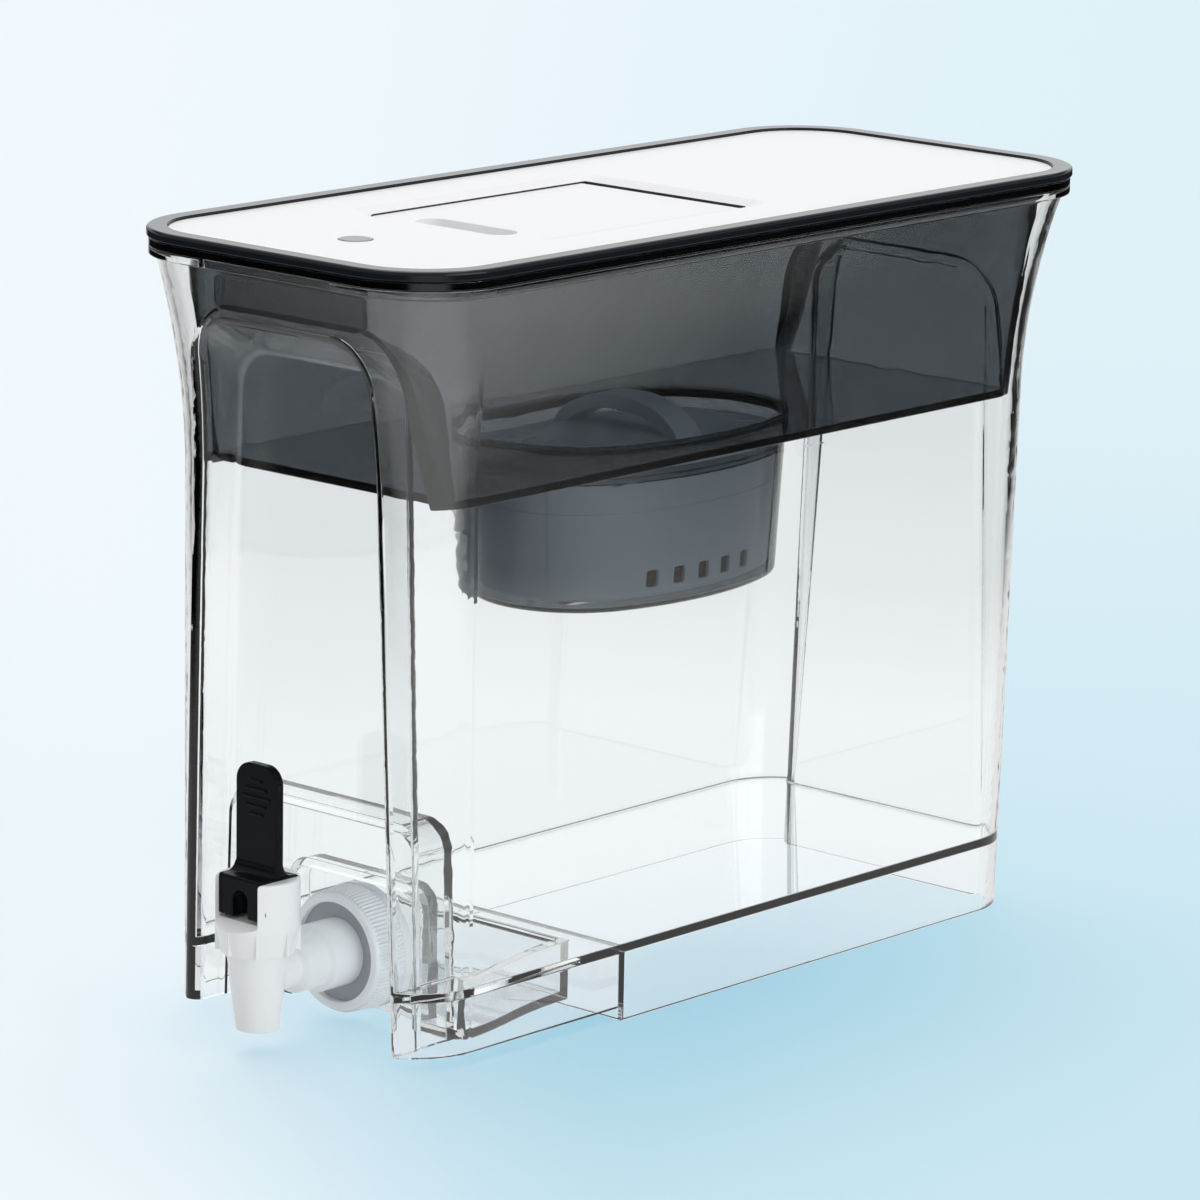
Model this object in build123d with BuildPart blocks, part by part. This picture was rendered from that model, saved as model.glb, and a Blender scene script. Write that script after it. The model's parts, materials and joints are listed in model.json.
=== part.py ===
from build123d import *
import os
from math import hypot

# A slim water dispenser for a refrigerator shelf. Water poured through the door in the lid
# collects in the hopper, drips through the filter into the tank, and leaves by the tap.
# Millimetres, +Z up, the tap faces -Y, and z = 0 is the shelf.

os.makedirs("parts", exist_ok=True)

# ---------------------------------------------------------------- driving dimensions

# The lid is the widest thing, and the tap reaches furthest forward.
lid_width = 150.2
lid_length = 361.0
lid_corner = 34.1
lid_top_z = 275.0
lid_height = 3.6          # of the frame, above the hopper's flange
flange_thick = 3.0        # the hopper's flange, between the lid and the tank's rim

# Rim of the tank, under the lid.
rim_z = lid_top_z - lid_height - flange_thick
lip_width = 1.6
lip_height = 3.0
lid_overhang = 0.7        # from the rim's lip out to the edge of the lid
rim_half = lid_width / 2 - lid_overhang - lip_width
rim_reach = lid_length / 2 - lid_overhang - lip_width
rim_corner = lid_corner - lid_overhang - lip_width
lip_gap_half = 30.0       # the lip is left out across the middle of both ends

# Tank: near-upright walls up to flare_z, then a flare out to the rim.
tank_wall = 2.8
flare_height = 78.4
side_flare = 9.25
front_flare = 9.4
back_flare = 14.2
corner_flare = 5.2
side_draft = 0.2          # how much further in the walls stand at the shelf than at flare_z
back_draft = 5.9
flare_z = rim_z - flare_height
flare_half = rim_half - side_flare
base_half = flare_half - side_draft
base_front = front_flare - rim_reach
flare_back = rim_reach - back_flare
base_back = flare_back - back_draft
base_corner = rim_corner - corner_flare
floor_z = 27.0
front_raise = 4.9         # the skirt stops this far above the shelf ahead of skirt_step_y

# Arched recesses in both ends of the tank, open at the shelf, with sloping ceilings.
recess_front_depth = 17.8
recess_back_depth = 14.0
recess_side = 17.65       # from a recess to the side of the tank, at the shelf
recess_headroom = 34.4    # from its ceiling's inner edge to the rim
recess_front_y = base_front + recess_front_depth
recess_back_y = flare_back - recess_back_depth
recess_half = base_half - recess_side
recess_top_z = rim_z - recess_headroom
recess_lean = 0.0316
recess_slope = 0.58
recess_corner = 13.0
recess_round = 4.0
recess_inner_round = 2.0
cut_reach = 40.0          # how far a cutter runs out, to well clear of the tank
below_z = -5.0            # and how far below the shelf

# Niche for the tap in the front recess, and the pocket for the nut behind it.
niche_depth = 15.0
niche_y = recess_front_y + niche_depth
niche_step = 1.0
niche_top_z = 78.0
niche_corner = 8.0
pocket_depth = 8.5
pocket_y = niche_y + pocket_depth
pocket_half = 28.0
pocket_top_z = 52.0
pocket_corner = 6.0

# Sump: the low part of the floor that the tap draws from.
sump_floor_z = 7.8
sump_length = 61.0
sump_side = 23.95         # from its narrow back part to the side of the tank
sump_swell_middle = 4.0
sump_swell_front = 4.6
skirt_step_gap = 8.5
sump_back_y = niche_y + sump_length
sump_half_back = base_half - sump_side
sump_half_middle = sump_half_back + sump_swell_middle
sump_half_front = sump_half_middle + sump_swell_front
skirt_step_y = sump_back_y + skirt_step_gap

# Neck that the tap is screwed to.
neck_z = 27.6
neck_proud = 1.2
neck_front_y = niche_y - neck_proud
neck_radius = 18.3
neck_bore = 14.0
thread_height = 0.7
thread_pitch = 3.0

# Tap's place: its spout stands ahead of the neck.
tap_distance = 43.5
tap_y = neck_front_y - tap_distance
tap_reach = 14.5          # from the spout's axis to the front of the bonnet's ribs
tank_y = (tap_reach - tap_y - lid_length / 2) / 2   # puts the whole object over the origin

# Hopper.
hopper_wall = 2.2
hopper_depth = 76.4       # from the tank's rim down to the underside of its floor
hopper_side_gap = 2.25    # from the inside of the tank to the hopper, low down
hopper_front_gap = 5.0
hopper_back_gap = 2.7
hopper_corner_gap = 5.6
hopper_base_z = rim_z - hopper_depth
hopper_base_half = flare_half - tank_wall - hopper_side_gap
hopper_base_front = base_front + tank_wall + hopper_front_gap
hopper_base_back = flare_back - tank_wall - hopper_back_gap
hopper_base_corner = base_corner - hopper_corner_gap
shoulder_drop = 4.9       # from the tank's rim down to the shoulder
shoulder_side_gap = 6.5   # from the inside of the tank to the hopper, at the shoulder
shoulder_front_gap = 9.9
shoulder_back_gap = 7.4
shoulder_corner_gap = 6.8
shoulder_step = 3.0
shoulder_z = rim_z - shoulder_drop
shoulder_half = rim_half - tank_wall - shoulder_side_gap
shoulder_front = tank_wall + shoulder_front_gap - rim_reach
shoulder_back = rim_reach - tank_wall - shoulder_back_gap
shoulder_corner = rim_corner - shoulder_corner_gap
notch_gap = 1.2           # from the tank's recess walls to the hopper
notch_spread = 34.6       # how much wider than the recess a notch is, carried down to the shelf
notch_lean = 0.143
notch_headroom = 28.4
notch_corner = 19.0
notch_half = recess_half + notch_spread
notch_top_z = rim_z - notch_headroom
plate_half = 34.5
plate_height = 12.5
plate_drop = 5.9          # from the tank's rim to the top of the plate
plate_proud = 1.6
plate_high_z = rim_z - plate_drop
plate_low_z = plate_high_z - plate_height

# Oval well in the hopper floor, and the filter that hangs in it.
well_depth = 56.0         # below the hopper's floor
well_draft = 3.0          # how much further out its wall stands at the top
well_end_radius = 36.0
well_side_radius = 122.0
well_length = 127.0
well_width = 81.0
well_wall = 2.0
well_round = 3.0
well_lip = 1.5
well_base_z = hopper_base_z - well_depth
well_taper = well_draft / well_depth
ledge_drop = 8.0          # from the hopper's floor down to the ledge
ledge_thick = 2.0
ledge_z = hopper_base_z - ledge_drop
filter_gap = 2.0          # from the inside of the well to the filter shell
filter_wall = 1.6
filter_base_gap = 1.3
seal_thick = 2.0
cap_thick = 2.5
cap_dome = 4.0
handle_half = 30.5
handle_rise = 3.0         # from the ledge to the middle of the handle's ellipse
handle_height = 17.5
handle_foot_z = ledge_z + handle_rise
handle_top_z = handle_foot_z + handle_height
handle_thick = 5.2
handle_width = 13.0

# Lid: a dark frame round a white panel.
frame_band = 7.2
frame_groove = 1.5
frame_round = 1.2
shadow_height = 0.4
panel_drop = 1.0          # from the top of the frame to the top of the panel
panel_thick = 2.4
panel_gap = 0.1
plug_gap = 0.5
plug_wall = 1.6
plug_floor_gap = 0.4

# Fill door, flush in a shallow dished surround.
hinge_y = 17.2
door_side = 37.8          # from the door to the side of the lid
door_setback = 89.5       # and to its front end
door_half = lid_width / 2 - door_side
door_front = door_setback - lid_length / 2
door_thick = 2.0
door_drop = 1.8           # from the top of the panel to the top of the door
door_gap = 0.6
door_corner = 2.5
bevel = 7.0
pin_radius = 1.0
pin_clearance = 0.05
barrel_radius = 2.3
ear_length = 4.0
grip_length = 43.0
grip_width = 12.0
grip_depth = 4.8
grip_inset = 9.0
grip_wall = 1.2
grip_y = door_front + grip_inset

# Filter-change indicator under the panel.
indicator_distance = 45.0
indicator_y = door_front - indicator_distance
button_radius = 5.65
button_travel = 0.7
button_gap = 0.3

# Tap.
nozzle_base_z = 8.6
nozzle_radius = 7.55
nozzle_kink_z = 16.5
nozzle_kink_radius = 8.45
collar_base_z = 35.9
collar_top_z = 44.9
cone_radius = 10.7
outlet_radius = 5.2
seat_z = 20.0
chamber_radius = 7.4
shank_radius = 11.9
shank_neck_radius = 10.0
shank_length = 18.8       # from its shoulder to the neck
shank_shoulder_y = neck_front_y - shank_length
shank_bore = 7.0
flange_radius = 18.6
nut_lip_radius = 17.45
nut_lip = 2.8
flange_width = 2.2
gasket_thick = 2.0
nut_clearance = 0.35
nut_wall_gap = 1.2
nut_back_y = pocket_y - nut_wall_gap
bonnet_radius = 14.4
skirt_base_radius = 12.6
cheek_top_z = 62.0
saddle_half = 9.9
saddle_front = -8.7
saddle_back = 8.9
saddle_base_z = 48.7
saddle_top_z = 62.8
cheek_gap = 0.2
pivot_dy = -6.5
pivot_z = 52.0
trunnion_radius = 1.8
blade_half = 9.66
blade_front = -1.1
blade_thick = 3.5
blade_top_z = 100.8
blade_corner = 6.5
blade_flare = 4.0
ridge_low_z = 83.5
ridge_pitch = 2.9
ridge_lengths = (6.0, 9.0, 13.0, 9.5, 5.0)
ridge_radius = 0.55
stem_radius = 2.0
stem_clearance = 0.06
ball_radius = 3.0
keyhole_half = 3.4
keyhole_height = 9.5
keyhole_back = 4.5


# ---------------------------------------------------------------- shared planes and outlines

def level(z, y=0):
    """Horizontal plane at height z, its origin y from the middle of the tank."""
    return Plane(origin=(0, tank_y + y, z))


def facing(y):
    """Upright plane that faces the front: its x is X and its y is Z."""
    return Plane(origin=(0, tank_y + y, 0), x_dir=(1, 0, 0), z_dir=(0, -1, 0))


def sideways(x=0, y=0):
    """Upright plane that faces +X: its x is Y, from y, and its y is Z."""
    return Plane(origin=(x, tank_y + y, 0), x_dir=(0, 1, 0), z_dir=(1, 0, 0))


def rounded_outline(z, half, front, back, corner):
    """Rounded rectangle at height z."""
    with BuildSketch(level(z)) as outline:
        with Locations((0, (front + back) / 2)):
            RectangleRounded(2 * half, back - front, corner)
    return outline.sketch


def tank_outline(z, inset):
    """The tank's outline at height z, moved in by inset."""
    if z <= flare_z:
        rise = z / flare_z
        half = base_half + (flare_half - base_half) * rise
        front = base_front
        back = base_back + (flare_back - base_back) * rise
        corner = base_corner
    else:
        swell = ((z - flare_z) / (rim_z - flare_z)) ** 2
        half = flare_half + (rim_half - flare_half) * swell
        front = base_front - (rim_reach + base_front) * swell
        back = flare_back + (rim_reach - flare_back) * swell
        corner = base_corner + (rim_corner - base_corner) * swell
    return rounded_outline(z, half - inset, front + inset, back - inset, corner - inset)


def flare_outlines(inset, top_z):
    """Four outlines of the tank's flare, for one smooth loft."""
    step = (top_z - flare_z) / 3
    return [tank_outline(flare_z + step * n, inset) for n in range(4)]


def arch(y, half, lean, low_z, top_z, corner):
    """Arch on an upright plane, its sides leaning in, half wide at z = 0."""
    with BuildSketch(facing(y)) as shape:
        with BuildLine():
            Polyline(
                (half - lean * low_z, low_z),
                (half - lean * top_z, top_z),
                (lean * top_z - half, top_z),
                (lean * low_z - half, low_z),
                close=True,
            )
        make_face()
        fillet(shape.vertices().group_by(Axis.Y)[-1], corner)
    return shape.sketch


def recess_block(inner_y, grow):
    """An end recess of the tank as a solid, grown by grow: an arch with a sloping ceiling."""
    outward = 1 if inner_y > 0 else -1
    wall_y = inner_y - outward * grow
    top_z = recess_top_z + grow * (hypot(1, recess_slope) - recess_slope)
    half = recess_half + grow
    corner = recess_corner + grow
    with BuildPart() as block:
        loft(
            [
                arch(wall_y, half, recess_lean, below_z, top_z, corner),
                arch(
                    wall_y + outward * cut_reach,
                    half,
                    recess_lean,
                    below_z,
                    top_z + cut_reach * recess_slope,
                    corner,
                ),
            ],
            ruled=True,
        )
        inner_edges = block.edges().group_by(Axis.Y)[0 if outward > 0 else -1]
        fillet(inner_edges.filter_by_position(Axis.Z, below_z + 1, rim_z), recess_inner_round + grow)
    return block.part


def notch_arches(inner_y, grow):
    """Two arches whose loft is an end notch of the hopper, grown by grow."""
    outward = 1 if inner_y > 0 else -1
    top_z = notch_top_z + grow * (hypot(1, recess_slope) - recess_slope)
    wall_y = inner_y - outward * grow
    low_z = hopper_base_z - 5
    near = arch(wall_y, notch_half + grow, notch_lean, low_z, top_z, notch_corner + grow)
    far = arch(
        wall_y + outward * cut_reach,
        notch_half + grow,
        notch_lean,
        low_z,
        top_z + cut_reach * recess_slope,
        notch_corner + grow,
    )
    return [near, far]


def niche_outline(y, grow):
    """The tap niche, a little inside the walls of the recess."""
    half = recess_half - niche_step + grow
    return arch(y, half, recess_lean, below_z, niche_top_z + grow, niche_corner + grow)


def pocket_outline(y, grow):
    """The pocket behind the niche that the nut turns in."""
    return arch(y, pocket_half + grow, 0, below_z, pocket_top_z + grow, pocket_corner + grow)


def sump_outline(z, grow):
    """Plan of the sump: narrow at the back, with a soft S to its front."""
    front_y = niche_y + tank_wall
    middle_y = (sump_back_y + front_y) / 2
    with BuildSketch(level(z)) as plan:
        with BuildLine():
            Line((0, sump_back_y + grow), (sump_half_back + grow, sump_back_y + grow))
            Spline(
                (sump_half_back + grow, sump_back_y + grow),
                (sump_half_middle + grow, middle_y),
                (sump_half_front + grow, front_y),
                tangents=[(0, -1), (0, -1)],
            )
            Line((sump_half_front + grow, front_y), (0, front_y))
            mirror(about=Plane.YZ)
        make_face()
    return plan.sketch


def oval(z, grow):
    """The well's oval at height z: two end arcs and two flatter side arcs, all tangent."""
    end = well_length / 2 + grow
    side = well_width / 2 + grow
    end_middle = well_length / 2 - well_end_radius
    side_middle = well_side_radius - well_width / 2
    reach = hypot(end_middle, side_middle)
    joint_x = (well_end_radius + grow) * side_middle / reach
    joint_y = end_middle + (well_end_radius + grow) * end_middle / reach
    with BuildSketch(level(z)) as outline:
        with BuildLine():
            ThreePointArc((joint_x, joint_y), (0, end), (-joint_x, joint_y))
            ThreePointArc((-joint_x, joint_y), (-side, 0), (-joint_x, -joint_y))
            ThreePointArc((-joint_x, -joint_y), (0, -end), (joint_x, -joint_y))
            ThreePointArc((joint_x, -joint_y), (side, 0), (joint_x, joint_y))
        make_face()
    return outline.sketch


def well_grow(z, inset):
    """How much the well's oval has grown at height z, less inset."""
    return (z - well_base_z) * well_taper - inset


def well_loft(low_z, high_z, inset):
    """Two ovals of the tapering well, for a loft."""
    return [oval(low_z, well_grow(low_z, inset)), oval(high_z, well_grow(high_z, inset))]


def hopper_outline(z, inset):
    """The hopper's outline below its shoulder, moved in by inset."""
    rise = (z - hopper_base_z) / (shoulder_z - hopper_base_z)
    return rounded_outline(
        z,
        hopper_base_half + (shoulder_half - hopper_base_half) * rise - inset,
        hopper_base_front + (shoulder_front - hopper_base_front) * rise + inset,
        hopper_base_back + (shoulder_back - hopper_base_back) * rise - inset,
        hopper_base_corner + (shoulder_corner - hopper_base_corner) * rise - inset,
    )


def mouth_outline(z, inset):
    """The hopper's outline above its shoulder, moved in by inset."""
    return rounded_outline(
        z,
        shoulder_half + shoulder_step - inset,
        shoulder_front - shoulder_step + inset,
        shoulder_back + shoulder_step - inset,
        shoulder_corner + shoulder_step - inset,
    )


def lid_outline(z, inset):
    """The lid's outline, moved in by inset."""
    return rounded_outline(
        z,
        lid_width / 2 - inset,
        inset - lid_length / 2,
        lid_length / 2 - inset,
        lid_corner - inset,
    )


def door_opening(z, grow):
    """The opening that the fill door closes, grown by grow."""
    return rounded_outline(
        z,
        door_half + door_gap + grow,
        door_front - door_gap - grow,
        hinge_y + barrel_radius + door_gap + grow,
        door_corner + grow,
    )


spout = Axis((0, tank_y + tap_y, 0), (0, 0, 1))
shank = Axis((0, tank_y, neck_z), (0, 1, 0))


# ---------------------------------------------------------------- tank

tank_floor_under_z = floor_z - tank_wall

with BuildPart() as water_space:
    loft([tank_outline(floor_z, tank_wall), tank_outline(flare_z, tank_wall)], ruled=True)
    loft(flare_outlines(tank_wall, rim_z + 1))
    extrude(sump_outline(sump_floor_z, 0), amount=floor_z - sump_floor_z + 0.1)
    add(recess_block(recess_front_y, tank_wall), mode=Mode.SUBTRACT)
    add(recess_block(recess_back_y, tank_wall), mode=Mode.SUBTRACT)
    extrude(niche_outline(niche_y + tank_wall, tank_wall), amount=cut_reach, mode=Mode.SUBTRACT)
    extrude(pocket_outline(pocket_y + tank_wall, tank_wall), amount=cut_reach, mode=Mode.SUBTRACT)

with BuildPart() as skirt_space:
    loft([tank_outline(-1, tank_wall), tank_outline(tank_floor_under_z, tank_wall)], ruled=True)
    add(recess_block(recess_front_y, tank_wall), mode=Mode.SUBTRACT)
    add(recess_block(recess_back_y, tank_wall), mode=Mode.SUBTRACT)
    extrude(niche_outline(niche_y + tank_wall, tank_wall), amount=cut_reach, mode=Mode.SUBTRACT)
    extrude(pocket_outline(pocket_y + tank_wall, tank_wall), amount=cut_reach, mode=Mode.SUBTRACT)
    extrude(sump_outline(-2, tank_wall), amount=floor_z + 4, mode=Mode.SUBTRACT)
    with Locations((0, tank_y + skirt_step_y + tank_wall / 2, floor_z / 2)):
        Box(2 * base_half, tank_wall, 2 * floor_z, mode=Mode.SUBTRACT)

with BuildPart() as tank:
    # Rim lip, left out across the middle of both ends
    extrude(tank_outline(rim_z, -lip_width), amount=-lip_height)
    with Locations((0, tank_y, rim_z)):
        Box(2 * lip_gap_half, 3 * rim_reach, 3 * lip_height, mode=Mode.SUBTRACT)
    # Outside
    loft([tank_outline(0, 0), tank_outline(flare_z, 0)], ruled=True)
    loft(flare_outlines(0, rim_z))
    # End recesses, with rounded mouths
    for inner_y in (recess_front_y, recess_back_y):
        add(recess_block(inner_y, 0), mode=Mode.SUBTRACT)
        mouth = tank.edges(Select.NEW).filter_by(
            lambda edge: abs(edge.center().Y - tank_y) > abs(inner_y) + 7 and edge.center().Z > 1
        )
        fillet(mouth, recess_round)
    extrude(niche_outline(niche_y, 0), amount=cut_reach, mode=Mode.SUBTRACT)
    extrude(pocket_outline(pocket_y, 0), amount=cut_reach, mode=Mode.SUBTRACT)
    # Inside, and the hollow under the floor
    add(water_space.part, mode=Mode.SUBTRACT)
    add(skirt_space.part, mode=Mode.SUBTRACT)
    with Locations((0, tank_y + skirt_step_y, front_raise)):
        Box(
            3 * base_half,
            2 * rim_reach,
            4 * front_raise,
            align=(Align.CENTER, Align.MAX, Align.MAX),
            mode=Mode.SUBTRACT,
        )
    # Threaded neck
    with BuildSketch(facing(neck_front_y)):
        with Locations((0, neck_z)):
            Circle(neck_radius)
    extrude(amount=neck_front_y - pocket_y)
    with BuildSketch(sideways()):
        for turn in range(2):
            thread_y = neck_front_y + 2.2 + turn * thread_pitch
            with BuildLine():
                Polyline(
                    (thread_y - 1, neck_z + neck_radius - 0.1),
                    (thread_y, neck_z + neck_radius + thread_height),
                    (thread_y + 1, neck_z + neck_radius - 0.1),
                    close=True,
                )
            make_face()
    revolve(axis=shank)
    with BuildSketch(facing(neck_front_y)):
        with Locations((0, neck_z)):
            Circle(neck_bore)
    extrude(amount=neck_front_y - pocket_y - 2 * tank_wall, mode=Mode.SUBTRACT)

tank.part.label = "tank"
export_step(tank.part, "parts/tank.step")


# ---------------------------------------------------------------- hopper

hopper_floor_z = hopper_base_z + hopper_wall + 0.4
flange_low_z = rim_z
flange_top_z = flange_low_z + flange_thick
mouth_floor_z = shoulder_z + hopper_wall
notch_front_y = recess_front_y + tank_wall + notch_gap
notch_back_y = recess_back_y - tank_wall - notch_gap
ledge_inset = well_wall + filter_gap - 0.4
slot_length = 46.0
slot_width = 8.0
slot_pitch = 16.0
slot_bridge = 6.0

with BuildPart() as tub_space:
    loft(
        [
            hopper_outline(hopper_floor_z, hopper_wall),
            hopper_outline(mouth_floor_z, hopper_wall),
        ],
        ruled=True,
    )
    loft(notch_arches(notch_front_y, hopper_wall), ruled=True, mode=Mode.SUBTRACT)
    loft(notch_arches(notch_back_y, hopper_wall), ruled=True, mode=Mode.SUBTRACT)
    extrude(
        oval(hopper_floor_z, well_grow(hopper_floor_z, 0)),
        amount=well_lip,
        mode=Mode.SUBTRACT,
    )

with BuildPart() as hopper:
    # Tub with its notched ends, the step out at the shoulder, and the flange on the tank's rim
    loft([hopper_outline(hopper_base_z, 0), hopper_outline(shoulder_z, 0)], ruled=True)
    extrude(mouth_outline(shoulder_z, 0), amount=flange_low_z - shoulder_z)
    loft(notch_arches(notch_front_y, 0), ruled=True, mode=Mode.SUBTRACT)
    loft(notch_arches(notch_back_y, 0), ruled=True, mode=Mode.SUBTRACT)
    extrude(tank_outline(flange_low_z, -lip_width), amount=flange_thick)
    # Blank plate on the front wall
    with BuildSketch(facing(shoulder_front + hopper_wall / 2)):
        with Locations((0, (plate_low_z + plate_high_z) / 2)):
            RectangleRounded(2 * plate_half, plate_high_z - plate_low_z, 3)
    extrude(amount=plate_proud + hopper_wall / 2)
    # Well for the filter, with a raised lip round its mouth
    loft(well_loft(well_base_z, hopper_floor_z, 0), ruled=True)
    fillet(hopper.edges().group_by(Axis.Z)[0], well_round)
    extrude(oval(hopper_floor_z, well_grow(hopper_floor_z, 0)), amount=well_lip)
    # Inside of the tub and its mouth
    add(tub_space.part, mode=Mode.SUBTRACT)
    extrude(mouth_outline(mouth_floor_z, hopper_wall), amount=20, mode=Mode.SUBTRACT)
    # Inside of the well, with the ledge that the filter's seal sits on
    loft(
        well_loft(well_base_z + well_wall, ledge_z - ledge_thick, well_wall),
        ruled=True,
        mode=Mode.SUBTRACT,
    )
    extrude(
        oval(ledge_z - ledge_thick - 0.1, well_grow(ledge_z, ledge_inset)),
        amount=ledge_thick + 0.2,
        mode=Mode.SUBTRACT,
    )
    loft(
        well_loft(ledge_z, hopper_floor_z + well_lip + 0.1, well_wall),
        ruled=True,
        mode=Mode.SUBTRACT,
    )
    # Drain slots in the well's floor
    with BuildSketch(level(well_base_z - 1)):
        with GridLocations(slot_pitch, slot_length + slot_bridge, 3, 2):
            SlotOverall(slot_length, slot_width, rotation=90)
    extrude(amount=2 * well_wall, mode=Mode.SUBTRACT)

hopper.part.label = "hopper"
export_step(hopper.part, "parts/hopper.step")


# ---------------------------------------------------------------- filter

shell_inset = well_wall + filter_gap
shell_base_z = well_base_z + well_wall + filter_base_gap
shell_top_z = ledge_z + seal_thick
screen_thick = 1.2
media_base_z = shell_base_z + filter_wall + screen_thick
band_rise = 32.0
band_height = 3.0
band_low_z = well_base_z + band_rise
band_high_z = band_low_z + band_height
window_height = 6.0
window_low_z = media_base_z + 1
window_high_z = window_low_z + window_height
window_width = 5.0
media_gap = 0.4
mesh_pitch = 8.0
mesh_hole = 5.6

with BuildPart() as filter_shell:
    loft(well_loft(shell_base_z, shell_top_z, shell_inset), ruled=True)
    fillet(filter_shell.edges().group_by(Axis.Z)[0], well_round)
    loft(well_loft(band_low_z, band_high_z, shell_inset - 0.5), ruled=True)
    loft(
        well_loft(shell_base_z + filter_wall, shell_top_z + 0.1, shell_inset + filter_wall),
        ruled=True,
        mode=Mode.SUBTRACT,
    )
    # Outlet windows low in the long sides, and slots in the base
    with BuildSketch(sideways()):
        with Locations((0, (window_low_z + window_high_z) / 2)):
            with GridLocations(2.4 * window_width, 1, 5, 1):
                RectangleRounded(window_width, window_high_z - window_low_z, 1)
    extrude(amount=well_width, both=True, mode=Mode.SUBTRACT)
    with BuildSketch(level(shell_base_z - 1)):
        with GridLocations(slot_pitch, 1, 3, 1):
            SlotOverall(1.6 * slot_length, slot_width, rotation=90)
    extrude(amount=filter_wall + 2, mode=Mode.SUBTRACT)

filter_shell.part.label = "filter_shell"
export_step(filter_shell.part, "parts/filter_shell.step")

with BuildPart() as filter_screen:
    screen_z = shell_base_z + filter_wall
    extrude(
        oval(screen_z, well_grow(screen_z, shell_inset + filter_wall + media_gap)),
        amount=screen_thick,
    )
    with BuildSketch(level(screen_z)):
        with GridLocations(mesh_pitch, mesh_pitch, 7, 12):
            Rectangle(mesh_hole, mesh_hole)
    extrude(amount=screen_thick, mode=Mode.SUBTRACT)

filter_screen.part.label = "filter_screen"
export_step(filter_screen.part, "parts/filter_screen.step")

with BuildPart() as filter_media:
    loft(
        well_loft(media_base_z, shell_top_z - 2, shell_inset + filter_wall + media_gap),
        ruled=True,
    )

filter_media.part.label = "filter_media"
export_step(filter_media.part, "parts/filter_media.step")

seal_inset = well_wall + 0.4
with BuildPart() as filter_seal:
    extrude(oval(ledge_z, well_grow(ledge_z, seal_inset)), amount=seal_thick)
    extrude(
        oval(ledge_z, well_grow(shell_top_z, shell_inset)),
        amount=seal_thick,
        mode=Mode.SUBTRACT,
    )

filter_seal.part.label = "filter_seal"
export_step(filter_seal.part, "parts/filter_seal.step")

cap_base_z = shell_top_z
dome_base_z = cap_base_z + cap_thick
cap_inset = well_wall + 0.6
dome_run = 20.0
inlet_count = 5
inlet_pitch = 9.0
inlet_length = 14.0
inlet_width = 2.4
inlet_edge = 18.0         # from the end of the well to the middle of the slots

with BuildPart() as filter_cap:
    extrude(oval(cap_base_z, well_grow(cap_base_z, cap_inset)), amount=cap_thick)
    loft(
        [
            oval(dome_base_z, well_grow(dome_base_z, cap_inset + 1.5)),
            oval(dome_base_z + cap_dome, well_grow(dome_base_z, cap_inset + dome_run)),
        ],
        ruled=True,
    )
    # Hollow under the dome
    loft(
        [
            oval(cap_base_z - 0.1, well_grow(dome_base_z, cap_inset + 6)),
            oval(dome_base_z + cap_dome - 2, well_grow(dome_base_z, cap_inset + dome_run)),
        ],
        ruled=True,
        mode=Mode.SUBTRACT,
    )
    # Inlet slots round the top
    with BuildSketch(level(dome_base_z + cap_dome)):
        with GridLocations(inlet_pitch, well_length - 2 * inlet_edge, inlet_count, 2):
            SlotOverall(inlet_length, inlet_width, rotation=90)
    extrude(amount=-cap_dome - 3, mode=Mode.SUBTRACT)
    # Loop handle
    with BuildSketch(facing(0)):
        with Locations((0, handle_foot_z)):
            Ellipse(handle_half, handle_top_z - handle_foot_z)
            Ellipse(
                handle_half - handle_thick,
                handle_top_z - handle_foot_z - handle_thick,
                mode=Mode.SUBTRACT,
            )
        with Locations((0, dome_base_z)):
            Rectangle(
                2 * well_width,
                3 * (handle_top_z - handle_foot_z),
                align=(Align.CENTER, Align.MAX),
                mode=Mode.SUBTRACT,
            )
    extrude(amount=handle_width / 2, both=True)

filter_cap.part.label = "filter_cap"
export_step(filter_cap.part, "parts/filter_cap.step")


# ---------------------------------------------------------------- lid

panel_top_z = lid_top_z - panel_drop
panel_under_z = panel_top_z - panel_thick
door_top_z = panel_top_z - door_drop
door_under_z = door_top_z - door_thick
hinge_z = door_top_z - barrel_radius
boss_under_z = hinge_z - barrel_radius
ledge_width = 1.7
ledge_under_z = door_under_z - 1.4
tongue_z = panel_under_z + panel_thick / 2

with BuildPart() as lid_frame:
    # Set in at the very bottom, for a shadow line
    extrude(lid_outline(lid_top_z, 0), amount=flange_top_z + shadow_height - lid_top_z)
    fillet(lid_frame.edges().group_by(Axis.Z)[-1], frame_round)
    extrude(lid_outline(flange_top_z, frame_groove), amount=shadow_height)
    extrude(
        lid_outline(flange_top_z, frame_band),
        amount=lid_top_z - flange_top_z,
        mode=Mode.SUBTRACT,
    )
    # Groove for the panel's tongue
    extrude(
        lid_outline(tongue_z - 0.45, frame_band - frame_groove - panel_gap),
        amount=0.9,
        mode=Mode.SUBTRACT,
    )

lid_frame.part.label = "lid_frame"
export_step(lid_frame.part, "parts/lid_frame.step")

housing_radius = 13.0
housing_wall = 1.5
housing_depth = 10.0
housing_base_z = panel_under_z - housing_depth
cell_radius = 8.0
cell_thick = 2.2
board_thick = 1.0
board_z = housing_base_z + housing_wall + cell_thick + 0.2
board_radius = housing_radius - housing_wall - 0.3
button_flange = 1.5
button_flange_z = panel_under_z - 0.2 - 1.2

plug_inset = hopper_wall + plug_gap
plug_base_z = mouth_floor_z + plug_floor_gap
plug_height = panel_under_z - plug_base_z

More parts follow.
